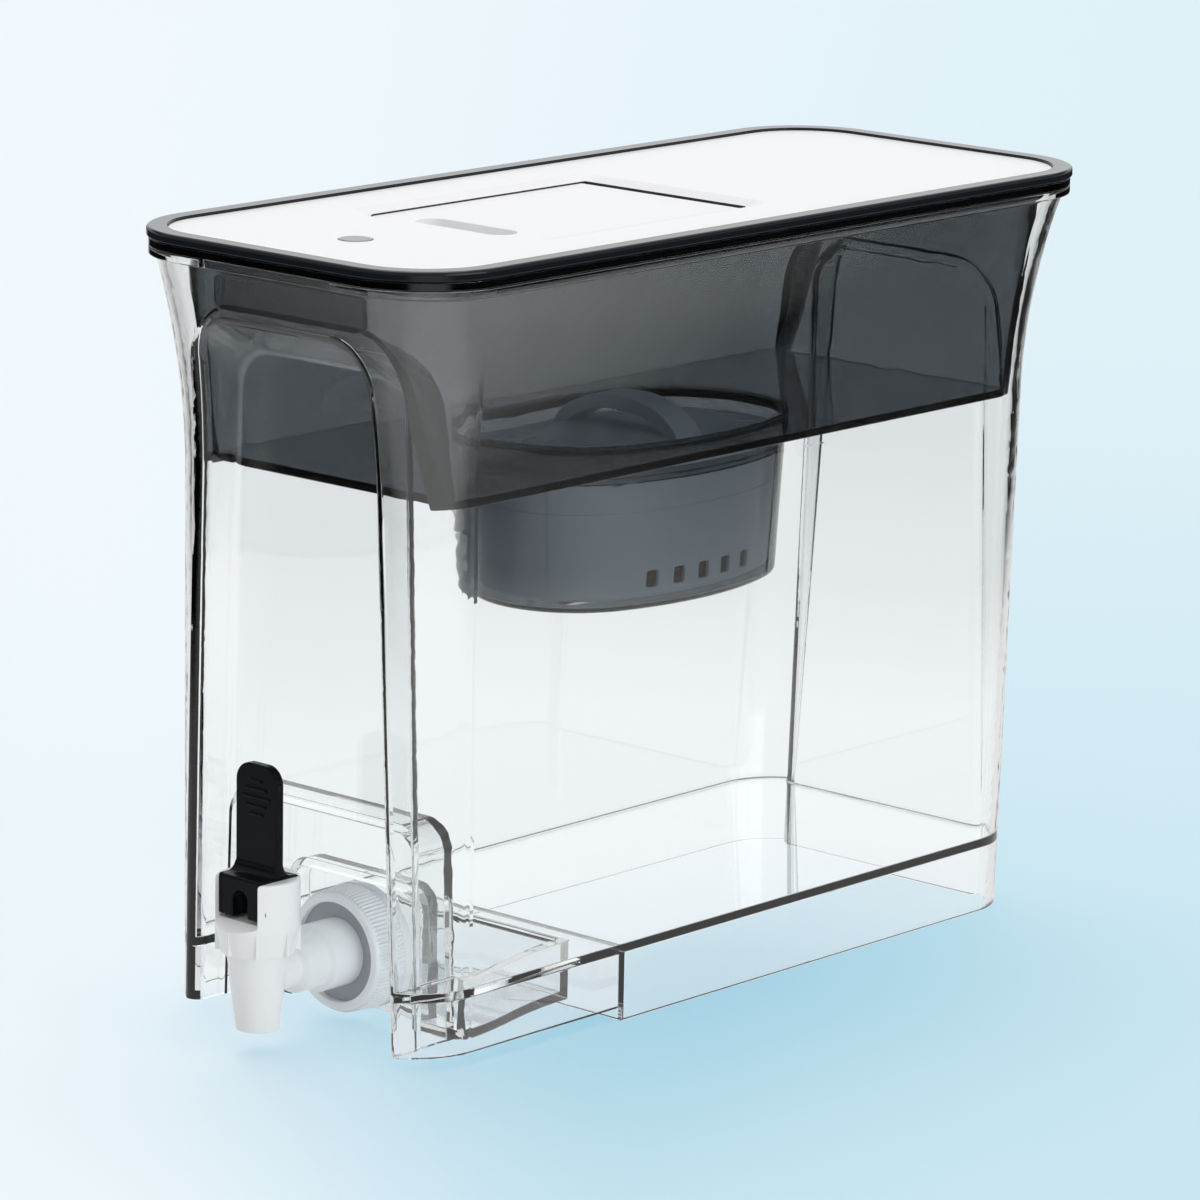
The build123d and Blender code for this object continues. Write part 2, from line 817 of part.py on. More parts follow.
with BuildPart() as plug:
    extrude(mouth_outline(plug_base_z, plug_inset), amount=plug_height)
    extrude(
        mouth_outline(plug_base_z, plug_inset + plug_wall),
        amount=plug_height,
        mode=Mode.SUBTRACT,
    )

with BuildPart() as lid_panel:
    extrude(lid_outline(panel_under_z, frame_band + panel_gap), amount=panel_thick)
    extrude(lid_outline(tongue_z - 0.4, frame_band - frame_groove), amount=0.8)
    # Boss under the dish round the door, deeper beside the hinge
    extrude(door_opening(ledge_under_z, bevel + ear_length), amount=panel_under_z - ledge_under_z)
    with BuildSketch(level(boss_under_z, hinge_y)):
        Rectangle(2 * (door_half + bevel + ear_length), 4 * barrel_radius)
    extrude(amount=panel_under_z - boss_under_z)
    # Dish, door opening, and the opening inside the ledge that the door rests on
    loft(
        [door_opening(door_top_z, 0.6), door_opening(panel_top_z + 0.01, bevel)],
        ruled=True,
        mode=Mode.SUBTRACT,
    )
    extrude(door_opening(door_under_z, 0), amount=panel_top_z - door_under_z, mode=Mode.SUBTRACT)
    extrude(
        rounded_outline(
            boss_under_z - 1,
            door_half + door_gap - ledge_width,
            door_front - door_gap + ledge_width,
            hinge_y + barrel_radius + door_gap,
            door_corner,
        ),
        amount=10,
        mode=Mode.SUBTRACT,
    )
    with BuildSketch(level(boss_under_z - 1, hinge_y)):
        Rectangle(2 * (door_half + 0.4), 2 * (barrel_radius + door_gap))
    extrude(amount=10, mode=Mode.SUBTRACT)
    # Blind bores for the hinge pin
    with BuildSketch(sideways(0, hinge_y)):
        with Locations((0, hinge_z)):
            Circle(pin_radius + pin_clearance)
    extrude(amount=door_half + ear_length, both=True, mode=Mode.SUBTRACT)
    # Plug that drops into the hopper's mouth
    add(plug.part)
    # Hole for the indicator button
    with BuildSketch(level(panel_under_z, indicator_y)):
        Circle(button_radius + button_gap)
    extrude(amount=panel_thick, mode=Mode.SUBTRACT)

lid_panel.part.label = "lid_panel"
export_step(lid_panel.part, "parts/lid_panel.step")

with BuildPart() as fill_door:
    # Plate with a barrel along its back edge
    with BuildSketch(level(door_under_z)):
        with BuildLine():
            FilletPolyline(
                (-door_half, hinge_y),
                (-door_half, door_front),
                (door_half, door_front),
                (door_half, hinge_y),
                radius=door_corner,
            )
            Line((door_half, hinge_y), (-door_half, hinge_y))
        make_face()
    extrude(amount=door_thick)
    with BuildSketch(sideways(0, hinge_y)):
        with Locations((0, hinge_z)):
            Circle(barrel_radius)
    extrude(amount=door_half, both=True)
    # Finger grip: an oblong cup let into the plate
    with BuildSketch(level(door_top_z, grip_y)):
        SlotOverall(grip_length + 2 * grip_wall, grip_width + 2 * grip_wall)
    extrude(amount=-grip_depth - grip_wall)
    with BuildSketch(level(door_top_z, grip_y)):
        SlotOverall(grip_length, grip_width)
    extrude(amount=-grip_depth, mode=Mode.SUBTRACT)
    with BuildSketch(sideways(0, hinge_y)):
        with Locations((0, hinge_z)):
            Circle(pin_radius + pin_clearance)
    extrude(amount=door_half, both=True, mode=Mode.SUBTRACT)

fill_door.part.label = "fill_door"
export_step(fill_door.part, "parts/fill_door.step")

with BuildPart() as door_hinge_pin:
    with BuildSketch(sideways(0, hinge_y)):
        with Locations((0, hinge_z)):
            Circle(pin_radius)
    extrude(amount=door_half + ear_length - 0.5, both=True)

door_hinge_pin.part.label = "door_hinge_pin"
export_step(door_hinge_pin.part, "parts/door_hinge_pin.step")

with BuildPart() as indicator_button:
    with BuildSketch(level(button_flange_z, indicator_y)):
        Circle(button_radius + button_flange)
    extrude(amount=1.2)
    with BuildSketch(level(button_flange_z, indicator_y)):
        Circle(button_radius)
    extrude(amount=panel_top_z + 0.2 - button_flange_z)
    fillet(indicator_button.edges().group_by(Axis.Z)[-1], 0.5)
    with BuildSketch(level(button_flange_z, indicator_y)):
        Circle(2)
    extrude(amount=board_z + board_thick + button_travel + 0.1 - button_flange_z)

indicator_button.part.label = "indicator_button"
export_step(indicator_button.part, "parts/indicator_button.step")

with BuildPart() as indicator_housing:
    with BuildSketch(level(housing_base_z, indicator_y)):
        Circle(housing_radius)
    extrude(amount=housing_depth)
    chamfer(indicator_housing.edges().group_by(Axis.Z)[0], 1)
    with BuildSketch(level(housing_base_z + housing_wall, indicator_y)):
        Circle(board_radius - 1)
    extrude(amount=housing_depth, mode=Mode.SUBTRACT)
    with BuildSketch(level(board_z, indicator_y)):
        Circle(housing_radius - housing_wall)
    extrude(amount=housing_depth, mode=Mode.SUBTRACT)

indicator_housing.part.label = "indicator_housing"
export_step(indicator_housing.part, "parts/indicator_housing.step")

with BuildPart() as indicator_board:
    with BuildSketch(level(board_z, indicator_y)):
        Circle(board_radius)
    extrude(amount=board_thick)

indicator_board.part.label = "indicator_board"
export_step(indicator_board.part, "parts/indicator_board.step")

with BuildPart() as coin_cell:
    with BuildSketch(level(housing_base_z + housing_wall, indicator_y)):
        Circle(cell_radius)
    extrude(amount=cell_thick)

coin_cell.part.label = "coin_cell"
export_step(coin_cell.part, "parts/coin_cell.step")


# ---------------------------------------------------------------- tap

tap_flange_front_y = neck_front_y - gasket_thick - flange_width
nut_front_y = tap_flange_front_y - nut_lip
nut_bore = neck_radius + thread_height + nut_clearance
nut_front_radius = 20.75
nut_rim_radius = 22.2
nut_rim_width = 2.6
nut_rib_count = 48
seal_z = 42.6
seal_height = 1.4
roof_z = 47.6
skirt_bore = 11.5
collar_rib_count = 8
spring_wire = 0.45
spring_radius = 4.3
spring_turns = 5
stem_flange_z = 30.0
stem_flange_thick = 1.5
cup_radius = 6.4
ball_z = pivot_z + 2.0
shank_root_radius = collar_base_z - neck_z - 0.6

with BuildPart() as tap_body:
    # Spout
    with BuildSketch(sideways(0, tap_y)):
        with BuildLine():
            Polyline(
                (0, nozzle_base_z),
                (nozzle_radius, nozzle_base_z),
                (nozzle_kink_radius, nozzle_kink_z),
                (cone_radius, collar_base_z),
                (cone_radius, seal_z),
                (0, seal_z),
                close=True,
            )
        make_face()
    revolve(axis=spout)
    # Shank, with its flange and the tail that enters the neck
    with BuildSketch(sideways()):
        with BuildLine():
            Polyline(
                (tap_y, neck_z),
                (tap_y, neck_z + shank_root_radius),
                (tap_y + skirt_base_radius + 1, neck_z + shank_root_radius),
                (tap_y + skirt_base_radius + 3, neck_z + shank_neck_radius),
                (shank_shoulder_y, neck_z + shank_neck_radius),
                (shank_shoulder_y + 1.5, neck_z + shank_radius),
                (tap_flange_front_y, neck_z + shank_radius),
                (tap_flange_front_y, neck_z + flange_radius),
                (tap_flange_front_y + flange_width, neck_z + flange_radius),
                (tap_flange_front_y + flange_width, neck_z + neck_bore - 0.5),
                (nut_back_y, neck_z + neck_bore - 1.5),
                (nut_back_y, neck_z),
                close=True,
            )
        make_face()
    revolve(axis=shank)
    # Waterway: along the shank, into the valve chamber, and down through the seat
    with BuildSketch(facing(nut_back_y + 1)):
        with Locations((0, neck_z)):
            Circle(shank_bore)
    extrude(amount=nut_back_y + 1 - tap_y, mode=Mode.SUBTRACT)
    with BuildSketch(sideways(0, tap_y)):
        with BuildLine():
            Polyline(
                (0, nozzle_base_z - 1),
                (outlet_radius + 0.6, nozzle_base_z - 1),
                (outlet_radius, seat_z - 1),
                (outlet_radius, seat_z),
                (chamber_radius, seat_z),
                (chamber_radius, seal_z + 1),
                (0, seal_z + 1),
                close=True,
            )
        make_face()
    revolve(axis=spout, mode=Mode.SUBTRACT)

tap_body.part.label = "tap_body"
export_step(tap_body.part, "parts/tap_body.step")

with BuildPart() as neck_gasket:
    with BuildSketch(facing(neck_front_y)):
        with Locations((0, neck_z)):
            Circle(flange_radius)
            Circle(neck_bore, mode=Mode.SUBTRACT)
    extrude(amount=gasket_thick)

neck_gasket.part.label = "neck_gasket"
export_step(neck_gasket.part, "parts/neck_gasket.step")

with BuildPart() as cap_nut:
    with BuildSketch(sideways()):
        with BuildLine():
            Polyline(
                (nut_front_y, neck_z + nut_lip_radius),
                (nut_front_y, neck_z + nut_front_radius - 0.8),
                (nut_front_y + 0.8, neck_z + nut_front_radius),
                (nut_back_y - nut_rim_width - 1, neck_z + nut_front_radius + 0.4),
                (nut_back_y - nut_rim_width, neck_z + nut_rim_radius),
                (nut_back_y, neck_z + nut_rim_radius),
                (nut_back_y, neck_z + nut_bore),
                (tap_flange_front_y, neck_z + nut_bore),
                (tap_flange_front_y, neck_z + nut_lip_radius),
                close=True,
            )
        make_face()
    revolve(axis=shank)
    with BuildSketch(facing(nut_back_y - nut_rim_width)):
        with Locations((0, neck_z)):
            with PolarLocations(nut_front_radius + 0.3, nut_rib_count):
                Rectangle(1.2, 0.9)
    extrude(amount=nut_back_y - nut_rim_width - nut_front_y - 1.5)

cap_nut.part.label = "cap_nut"
export_step(cap_nut.part, "parts/cap_nut.step")

with BuildPart() as bonnet_seal:
    with BuildSketch(level(seal_z, tap_y)):
        Circle(skirt_bore - 0.3)
        Circle(stem_radius + stem_clearance, mode=Mode.SUBTRACT)
    extrude(amount=seal_height)

bonnet_seal.part.label = "bonnet_seal"
export_step(bonnet_seal.part, "parts/bonnet_seal.step")

with BuildPart() as tap_bonnet:
    with BuildSketch(sideways(0, tap_y)):
        with BuildLine():
            Polyline(
                (skirt_bore, collar_base_z),
                (skirt_base_radius, collar_base_z),
                (bonnet_radius, collar_top_z),
                (bonnet_radius, cheek_top_z),
                (0, cheek_top_z),
                (0, seal_z + seal_height),
                (skirt_bore, seal_z + seal_height),
                close=True,
            )
        make_face()
    revolve(axis=spout)
    fillet(tap_bonnet.edges().group_by(Axis.Z)[-1], 1.0)
    # Grip ribs
    with BuildSketch(level(collar_base_z + 0.4, tap_y)):
        with PolarLocations((skirt_base_radius + tap_reach) / 2 - 0.4, collar_rib_count):
            Rectangle(tap_reach - skirt_base_radius + 0.8, 1.0)
    extrude(amount=collar_top_z - collar_base_z - 0.4)
    # Slot between the cheeks for the lever, its floor sloping down at the front
    with BuildSketch(sideways(0, tap_y)):
        with BuildLine():
            Polyline(
                (saddle_back + 0.8, roof_z),
                (saddle_front, roof_z),
                (-bonnet_radius - 1, collar_top_z - 0.4),
                (-bonnet_radius - 1, cheek_top_z + 1),
                (saddle_back + 0.8, cheek_top_z + 1),
                close=True,
            )
        make_face()
    extrude(amount=saddle_half + cheek_gap, both=True, mode=Mode.SUBTRACT)
    # Hole for the stem, and blind sockets for the lever's trunnions
    with BuildSketch(level(seal_z, tap_y)):
        Circle(stem_radius + stem_clearance)
    extrude(amount=roof_z - seal_z + 1, mode=Mode.SUBTRACT)
    with BuildSketch(sideways(0, tap_y + pivot_dy)):
        with Locations((0, pivot_z)):
            Circle(trunnion_radius + pin_clearance)
    extrude(amount=saddle_half + 2.0, both=True, mode=Mode.SUBTRACT)

tap_bonnet.part.label = "tap_bonnet"
export_step(tap_bonnet.part, "parts/tap_bonnet.step")

ledge_top_z = pivot_z - 0.45
keyhole_top_z = saddle_base_z + keyhole_height
neck_slot_half = stem_radius + 0.35

with BuildPart() as tap_lever:
    # Saddle, with the keyhole that the stem's ball slides into
    with BuildSketch(sideways(0, tap_y)):
        with Locations(((saddle_front + saddle_back) / 2, (saddle_base_z + saddle_top_z) / 2)):
            RectangleRounded(saddle_back - saddle_front, saddle_top_z - saddle_base_z, 0.9)
    extrude(amount=saddle_half, both=True)
    with BuildSketch(facing(tap_y + saddle_front - 1)):
        with Locations((0, keyhole_top_z - keyhole_half)):
            Circle(keyhole_half)
        with Locations((0, saddle_base_z - 1)):
            Rectangle(
                2 * keyhole_half,
                keyhole_top_z - keyhole_half - saddle_base_z + 1,
                align=(Align.CENTER, Align.MIN),
            )
    extrude(amount=saddle_front - 1 - keyhole_back, mode=Mode.SUBTRACT)
    with BuildSketch(level(saddle_base_z, tap_y)):
        with Locations((0, keyhole_back)):
            Rectangle(2 * keyhole_half, keyhole_back + 2.5, align=(Align.CENTER, Align.MAX))
        with Locations((0, keyhole_back - 1.2)):
            Rectangle(
                2 * neck_slot_half,
                keyhole_back + 6,
                align=(Align.CENTER, Align.MAX),
                mode=Mode.SUBTRACT,
            )
    extrude(amount=ledge_top_z - saddle_base_z)
    # Blade, flaring into the saddle, with finger ridges near its top
    with BuildSketch(sideways(0, tap_y)) as blade:
        with Locations((blade_front + blade_thick / 2, saddle_top_z - 1)):
            Rectangle(
                blade_thick,
                blade_top_z - saddle_top_z + 1,
                align=(Align.CENTER, Align.MIN),
            )
            Rectangle(blade_thick + 2 * blade_flare + 1, 1, align=(Align.CENTER, Align.MIN))
        foot = blade.vertices().filter_by_position(
            Axis.X, blade_front - 0.1, blade_front + blade_thick + 0.1
        )
        fillet(foot.group_by(Axis.Y)[0], blade_flare)
    extrude(amount=blade_half, both=True)
    top_edges = tap_lever.edges().filter_by(Axis.Y).group_by(Axis.Z)[-1]
    fillet(top_edges, blade_corner)
    for n, ridge_length in enumerate(ridge_lengths):
        with BuildSketch(sideways(0, tap_y)):
            with Locations((blade_front, ridge_low_z + n * ridge_pitch)):
                Circle(ridge_radius)
        extrude(amount=ridge_length / 2, both=True)
    # Trunnions
    for side in (-1, 1):
        with BuildSketch(sideways(side * (saddle_half - 0.5), tap_y + pivot_dy)):
            with Locations((0, pivot_z)):
                Circle(trunnion_radius)
        extrude(amount=side * (0.5 + 1.8))

tap_lever.part.label = "tap_lever"
export_step(tap_lever.part, "parts/tap_lever.step")

with BuildPart() as valve_stem:
    with BuildSketch(level(seat_z + 2, tap_y)):
        Circle(stem_radius)
    extrude(amount=ball_z - seat_z - 2)
    with BuildSketch(level(stem_flange_z, tap_y)):
        Circle(spring_radius + 1.4)
    extrude(amount=stem_flange_thick)
    with Locations((0, tank_y + tap_y, ball_z)):
        Sphere(ball_radius)

valve_stem.part.label = "valve_stem"
export_step(valve_stem.part, "parts/valve_stem.step")

with BuildPart() as seat_cup:
    with BuildSketch(sideways(0, tap_y)):
        with BuildLine():
            Polyline(
                (0, seat_z - 1),
                (outlet_radius - 1.6, seat_z - 1),
                (outlet_radius - 0.6, seat_z),
                (cup_radius, seat_z),
                (cup_radius, seat_z + 2.5),
                (stem_radius + 2.2, seat_z + 4.5),
                (stem_radius + 2.2, stem_flange_z - 1.5),
                (0, stem_flange_z - 1.5),
                close=True,
            )
        make_face()
    revolve(axis=spout)
    with BuildSketch(level(seat_z + 1.9, tap_y)):
        Circle(stem_radius + 0.05)
    extrude(amount=10, mode=Mode.SUBTRACT)

seat_cup.part.label = "seat_cup"
export_step(seat_cup.part, "parts/seat_cup.step")

spring_low_z = stem_flange_z + stem_flange_thick + spring_wire
spring_height = seal_z - spring_wire - spring_low_z

with BuildPart() as tap_spring:
    with BuildLine(level(spring_low_z, tap_y)):
        coil = Helix(spring_height / spring_turns, spring_height, spring_radius)
    with BuildSketch(Plane(origin=coil @ 0, z_dir=coil % 0)):
        RegularPolygon(spring_wire - 0.02, 8)
    sweep(path=coil, is_frenet=True)

tap_spring.part.label = "tap_spring"
export_step(tap_spring.part, "parts/tap_spring.step")
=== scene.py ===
import json

from math import cos, radians, sin

import bmesh
import bpy
from mathutils import Matrix, Vector
from mathutils.bvhtree import BVHTree
from mathutils.interpolate import poly_3d_calc
from mathutils.kdtree import KDTree

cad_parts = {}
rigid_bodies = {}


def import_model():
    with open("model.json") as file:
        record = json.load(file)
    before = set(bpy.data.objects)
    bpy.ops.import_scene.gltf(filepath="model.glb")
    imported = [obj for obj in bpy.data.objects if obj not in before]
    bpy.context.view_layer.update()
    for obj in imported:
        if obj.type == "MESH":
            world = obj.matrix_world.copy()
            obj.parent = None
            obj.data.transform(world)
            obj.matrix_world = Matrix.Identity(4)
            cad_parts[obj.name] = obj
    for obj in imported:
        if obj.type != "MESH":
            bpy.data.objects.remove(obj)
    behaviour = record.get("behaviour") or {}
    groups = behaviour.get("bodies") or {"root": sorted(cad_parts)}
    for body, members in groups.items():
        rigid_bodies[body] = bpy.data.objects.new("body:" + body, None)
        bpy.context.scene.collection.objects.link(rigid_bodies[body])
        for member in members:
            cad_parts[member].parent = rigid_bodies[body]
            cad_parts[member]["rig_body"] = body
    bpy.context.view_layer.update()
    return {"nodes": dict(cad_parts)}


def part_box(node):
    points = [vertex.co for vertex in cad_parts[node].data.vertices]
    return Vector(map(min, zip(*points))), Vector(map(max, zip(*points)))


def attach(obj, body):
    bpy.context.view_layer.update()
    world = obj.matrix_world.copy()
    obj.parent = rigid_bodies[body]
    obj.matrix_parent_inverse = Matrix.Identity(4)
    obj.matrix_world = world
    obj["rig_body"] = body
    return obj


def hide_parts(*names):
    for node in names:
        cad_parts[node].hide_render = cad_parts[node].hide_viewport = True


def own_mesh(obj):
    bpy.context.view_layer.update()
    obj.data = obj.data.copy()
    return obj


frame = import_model()
nodes = frame["nodes"]

# ---------------------------------------------------------------- Studio
# A long lens looks down a little on the tap corner. A pale blue floor runs out of sight behind,
# and the room above it is dim at the sides and white overhead, so that clear edges draw lines.


def linear(code):
    """An sRGB hex colour as the linear colour that a shader takes."""
    parts = [int(code[n : n + 2], 16) / 255 for n in (1, 3, 5)]
    return [c / 12.92 if c <= 0.04045 else ((c + 0.055) / 1.055) ** 2.4 for c in parts] + [1]


def add(tree, kind, settings, links):
    """One node with its settings, and links of input name or number to another socket."""
    node = tree.nodes.new(kind)
    for name, value in settings.items():
        if isinstance(name, int) or name in node.inputs:
            node.inputs[name].default_value = value
        else:
            setattr(node, name, value)
    for name, socket in links.items():
        tree.links.new(socket, node.inputs[name])
    return node


azimuth, elevation, roll = radians(41.83), radians(12.86), radians(0.97)
camera_place = (1.4041, -1.57175, 0.6108)
film_width = 36
focal_length = 182.607
camera_back = Vector(
    (sin(azimuth) * cos(elevation), -cos(azimuth) * cos(elevation), sin(elevation))
)
level_right = (-camera_back).cross(Vector((0, 0, 1))).normalized()
level_up = level_right.cross(-camera_back)
camera_right = cos(roll) * level_right + sin(roll) * level_up
camera_up = cos(roll) * level_up - sin(roll) * level_right

camera = bpy.data.objects.new("camera", bpy.data.cameras.new("camera"))
bpy.context.collection.objects.link(camera)
camera.data.lens = focal_length
camera.data.sensor_width = film_width
camera.data.clip_end = 100
camera.matrix_world = Matrix.Translation(camera_place) @ Matrix(
    (camera_right, camera_up, camera_back)
).transposed().to_4x4()
bpy.context.scene.camera = camera

world = bpy.data.worlds.new("studio_room")
bpy.context.scene.world = world
world.use_nodes = True
tree = world.node_tree
tree.nodes.clear()
heading = add(tree, "ShaderNodeTexCoord", {}, {})
height = add(tree, "ShaderNodeSeparateXYZ", {}, {0: heading.outputs["Generated"]})
room = add(tree, "ShaderNodeValToRGB", {}, {0: height.outputs["Z"]})
room.color_ramp.elements[0].position = 0.3
room.color_ramp.elements[0].color = linear("#f2f5f7")
room.color_ramp.elements[1].position = 1.0
room.color_ramp.elements[1].color = linear("#ffffff")
for position, colour in ((0.37, "#3c4044"), (0.48, "#2a2d30"), (0.56, "#ffffff")):
    room.color_ramp.elements.new(position).color = linear(colour)
sky = add(tree, "ShaderNodeBackground", {"Strength": 0.64}, {"Color": room.outputs[0]})
add(tree, "ShaderNodeOutputWorld", {}, {"Surface": sky.outputs[0]})


def far_lamp(name, energy, spread, towards):
    """A soft lamp far away in the direction towards, spread radians wide."""
    data = bpy.data.lights.new(name, "SUN")
    data.energy = energy
    data.angle = spread
    obj = bpy.data.objects.new(name, data)
    bpy.context.collection.objects.link(obj)
    obj.rotation_euler = Vector(towards).to_track_quat("Z", "Y").to_euler()


far_lamp("skylight", 1.1, radians(40), (-0.25, 0.25, 1))
far_lamp("window_behind", 0.3, radians(50), (-0.62, 0.7, 0.4))
far_lamp("window_on_the_right", 1.2, radians(50), (1.2, 0.1, 0.22))

floor_mesh = bpy.data.meshes.new("floor")
floor = bpy.data.objects.new("floor", floor_mesh)
bpy.context.collection.objects.link(floor)
floor_form = bmesh.new()
bmesh.ops.create_grid(floor_form, x_segments=1, y_segments=1, size=12)
floor_form.to_mesh(floor_mesh)
floor_form.free()
floor_paint = bpy.data.materials.new("pale_blue_floor")
floor_paint.use_nodes = True
tree = floor_paint.node_tree
tree.nodes.clear()
path = add(tree, "ShaderNodeLightPath", {}, {})
place = add(tree, "ShaderNodeTexCoord", {}, {})


def measure(direction, start):
    """Distance on the floor from start metres before the origin, along direction."""
    along = add(
        tree,
        "ShaderNodeVectorMath",
        {"operation": "DOT_PRODUCT", 1: direction},
        {0: place.outputs["Object"]},
    )
    return add(tree, "ShaderNodeMath", {1: start}, {0: along.outputs["Value"]}).outputs[0]


# Painted shade: the floor's glow deepens to blue from left to right in view and nearer the
# object, over a stretch that widens with distance
pale_glow = (0.37, 0.565, 0.695, 1)
painted_shade_blue = (0.09, 0.42, 0.6, 1)
# Painted light: the paler glow the floor shows through the clear walls
painted_light_through_walls = (0.46, 0.6, 0.7, 1)
lit_floor = (0.51, 0.383, 0.292, 1)
wall_faces_in_view = 4
rightward = Vector((cos(azimuth), sin(azimuth), 0))
away = Vector((-sin(azimuth), cos(azimuth), 0))
across = measure(rightward + 0.1 * away, 0.19)
stretch = measure(0.27 * away, 0.254)
share = add(tree, "ShaderNodeMath", {"operation": "DIVIDE"}, {0: across, 1: stretch})
side = add(
    tree, "ShaderNodeMapRange", {"interpolation_type": "SMOOTHSTEP"}, {"Value": share.outputs[0]}
)
nearness = add(
    tree,
    "ShaderNodeMapRange",
    {"From Min": -0.2, "From Max": 1.2, "To Min": 0.95, "To Max": 0.45},
    {"Value": measure(away, 0)},
)
painted_shade_share = add(
    tree,
    "ShaderNodeMath",
    {"operation": "MULTIPLY"},
    {0: side.outputs[0], 1: nearness.outputs[0]},
)
painted_shade_tint = add(
    tree,
    "ShaderNodeMix",
    {"data_type": "RGBA", 6: pale_glow, 7: painted_shade_blue},
    {0: painted_shade_share.outputs[0]},
)
# Painted light: seen through the clear walls, the floor glows paler with each wall
walls = add(
    tree,
    "ShaderNodeMapRange",
    {"From Max": wall_faces_in_view, "To Max": 0.95},
    {"Value": path.outputs["Transmission Depth"]},
)
painted_paler_floor = add(
    tree,
    "ShaderNodeMix",
    {"data_type": "RGBA", 7: painted_light_through_walls},
    {0: walls.outputs[0], 6: painted_shade_tint.outputs[2]},
)
glow = add(tree, "ShaderNodeEmission", {}, {"Color": painted_paler_floor.outputs[2]})
matt = add(tree, "ShaderNodeBsdfDiffuse", {"Color": lit_floor}, {})
seen = add(tree, "ShaderNodeAddShader", {}, {0: matt.outputs[0], 1: glow.outputs[0]})
# Painted reflection: what is mirrored shows a glowing bright band of floor under the filter,
# with painted dark bands on both sides of it, where the two walls in view mirror the floor.
across_the_band = Vector((0.66, 0.75, 0))
painted_dark_band_offset = add(
    tree,
    "ShaderNodeMath",
    {"operation": "ABSOLUTE"},
    {0: measure(across_the_band, 0)},
)
painted_reflection_strength = add(
    tree,
    "ShaderNodeMapRange",
    {"From Min": 0.45, "From Max": 0.7, "To Min": 0.8, "To Max": 0.02},
    {"Value": painted_dark_band_offset.outputs[0]},
)
painted_reflection = add(tree, "ShaderNodeEmission", {}, {"Strength": painted_reflection_strength.outputs[0]})
direct = add(
    tree,
    "ShaderNodeMixShader",
    {},
    {0: path.outputs["Glossy Depth"], 1: seen.outputs[0], 2: painted_reflection.outputs[0]},
)
bounce = add(tree, "ShaderNodeBsdfDiffuse", {"Color": linear("#eaeaea")}, {})
both = add(
    tree,
    "ShaderNodeMixShader",
    {},
    {0: path.outputs["Is Diffuse Ray"], 1: direct.outputs[0], 2: bounce.outputs[0]},
)
add(tree, "ShaderNodeOutputMaterial", {}, {"Surface": both.outputs[0]})
floor_mesh.materials.append(floor_paint)

# ---------------------------------------------------------------- Tank
# The clear tank is one injection moulding in copolyester: a hard gloss with a slow waviness
# where the resin flowed, edges softened by the mould, and a cool grey where light runs along
# the wall.


def see_through(name, absorbs, density, shadow):
    """A clear moulded resin that takes up light along its depth, as density says per metre.

    Light on its way through it, to the pieces inside or to the floor, is only tinted.
    """
    material = bpy.data.materials.new(name)
    material.use_nodes = True
    tree = material.node_tree
    shader = tree.nodes["Principled BSDF"]
    shader.inputs["Base Color"].default_value = linear("#fdfefe")
    shader.inputs["Transmission Weight"].default_value = 1
    shader.inputs["IOR"].default_value = 1.55
    shader.inputs["Specular IOR Level"].default_value = 0.15
    shader.inputs["Roughness"].default_value = 0
    place = add(tree, "ShaderNodeTexCoord", {}, {})
    # Flow of the resin: waves some 60 mm long up the wall and 14 mm across it
    stretch = add(
        tree, "ShaderNodeMapping", {"Scale": (70, 70, 16)}, {"Vector": place.outputs["Object"]}
    )
    flow = add(
        tree, "ShaderNodeTexNoise", {"Scale": 1.0, "Detail": 1.0}, {"Vector": stretch.outputs[0]}
    )
    wave = add(
        tree,
        "ShaderNodeBump",
        {"Strength": 0.02, "Distance": 0.0001},
        {"Height": flow.outputs["Fac"]},
    )
    tree.links.new(wave.outputs[0], shader.inputs["Normal"])
    path = add(tree, "ShaderNodeLightPath", {}, {})
    veil = add(tree, "ShaderNodeBsdfTransparent", {"Color": shadow}, {})
    mix = add(
        tree,
        "ShaderNodeMixShader",
        {},
        {0: path.outputs["Is Shadow Ray"], 1: shader.outputs[0], 2: veil.outputs[0]},
    )
    lighting = add(
        tree,
        "ShaderNodeMath",
        {"operation": "MAXIMUM"},
        {0: path.outputs["Is Shadow Ray"], 1: path.outputs["Is Diffuse Ray"]},
    )
    strength = add(
        tree,
        "ShaderNodeMapRange",
        {"To Min": density, "To Max": density * 0.05},
        {"Value": lighting.outputs[0]},
    )
    depth = add(
        tree,
        "ShaderNodeVolumeAbsorption",
        {"Color": absorbs},
        {"Density": strength.outputs[0]},
    )
    output = tree.nodes["Material Output"]
    tree.links.new(mix.outputs[0], output.inputs["Surface"])
    tree.links.new(depth.outputs[0], output.inputs["Volume"])
    return material


# How easing finds a fold: a face or a corner too far from the solid, as a share of the width,
# or a face that has turned away from it, by the cosine between them, unless it is tiny.
fold_tries = 6
furthest_face = 0.6
furthest_corner = 0.8
least_cosine = 0.3
tiny_area = 1e-10
merge_distance = 2e-6
share_into_face = 0.02
shading_crease = radians(55)


